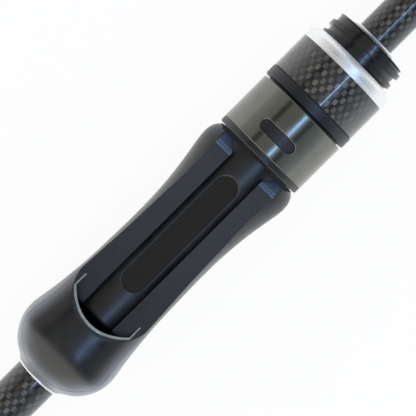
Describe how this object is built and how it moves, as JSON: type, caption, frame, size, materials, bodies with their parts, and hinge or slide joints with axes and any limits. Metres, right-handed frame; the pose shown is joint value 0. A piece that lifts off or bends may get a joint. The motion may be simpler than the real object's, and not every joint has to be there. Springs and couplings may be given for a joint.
{
  "type": "spinning rod",
  "caption": "Two-piece spinning rod with a screw-lock reel seat, woven carbon handle parts, foam rear grip and ceramic-lined line guides.",
  "frame": {"origin": "centre of the butt cap's flat end face", "axes": "+X along the rod to the tip, +Z out of the side that carries the reel's foot and the line guides, +Y across"},
  "size_m": [1.8294, 0.0268, 0.0595],
  "materials": {
    "seat_plastic": "satin black moulded plastic, faintly speckled on the rails",
    "window_gloss": "glossy near-black inlay",
    "hood_plastic": "satin black plastic",
    "gunmetal": "polished olive-grey gunmetal plating",
    "liner_metal": "grey anodised",
    "aluminium": "turned, with fine lathe lines",
    "woven_carbon": "woven carbon tape under clear gloss",
    "blank_carbon": "dark carbon, clear coated, with fine wound-tape lines",
    "grip_foam": "ground closed-cell foam, matte black",
    "arbor_foam": "rigid foam arbor",
    "thread_wrap": "black binding thread under clear resin",
    "guide_metal": "polished dark smoked stainless",
    "guide_ceramic": "polished dark ceramic",
    "spring_steel": "bright spring wire"
  },
  "bodies": {
    "rod": {"butt_cap": "gunmetal", "rear_grip": "grip_foam", "rear_grip_ring": "aluminium", "handle_tube": "woven_carbon", "butt_blank": "blank_carbon", "seat_rear_ring": "aluminium", "seat_body": "seat_plastic", "fixed_hood_liner": "liner_metal", "seat_window_plate": "window_gloss", "seat_arbor_rear": "arbor_foam", "seat_arbor_front": "arbor_foam", "front_winding_check": "aluminium", "woven_sleeve": "woven_carbon", "sleeve_trim_band": "thread_wrap", "hook_keeper": "guide_metal", "hook_keeper_wrap": "thread_wrap", "ferrule_spigot": "blank_carbon", "butt_ferrule_wrap": "thread_wrap", "guide_1_frame": "guide_metal", "guide_1_ring": "guide_ceramic", "guide_1_wrap": "thread_wrap"},
    "hood": {"hood_shell": "gunmetal", "hood_insert": "hood_plastic", "hood_snap_ring": "spring_steel"},
    "nut": {"nut_core": "hood_plastic", "nut_sleeve": "woven_carbon", "nut_ring": "aluminium"},
    "tip": {"tip_blank": "blank_carbon", "tip_ferrule_wrap": "thread_wrap", "guide_2_frame": "guide_metal", "guide_2_ring": "guide_ceramic", "guide_2_wrap": "thread_wrap", "guide_3_frame": "guide_metal", "guide_3_ring": "guide_ceramic", "guide_3_wrap": "thread_wrap", "guide_4_frame": "guide_metal", "guide_4_ring": "guide_ceramic", "guide_4_wrap": "thread_wrap", "guide_5_frame": "guide_metal", "guide_5_ring": "guide_ceramic", "guide_5_wrap": "thread_wrap", "guide_6_frame": "guide_metal", "guide_6_ring": "guide_ceramic", "guide_6_wrap": "thread_wrap", "guide_7_frame": "guide_metal", "guide_7_ring": "guide_ceramic", "guide_7_wrap": "thread_wrap", "tip_top_frame": "guide_metal", "tip_top_ring": "guide_ceramic", "tip_top_wrap": "thread_wrap"}
  },
  "joints": [
    {"name": "hood_slide", "type": "slide", "parent": "rod", "child": "hood", "axis": [1, 0, 0], "range_m": [0, 0.012]},
    {"name": "nut_turn", "type": "hinge", "parent": "hood", "child": "nut", "pos_m": [0.36, 0, 0], "axis": [1, 0, 0], "range_deg": [0, 1440]},
    {"name": "ferrule_pull", "type": "slide", "parent": "rod", "child": "tip", "axis": [1, 0, 0], "range_m": [0, 0.07]}
  ],
  "couplings": [
    {"joint": "hood_slide", "follows": "nut_turn", "m_per_rad": 0.00047746}
  ]
}
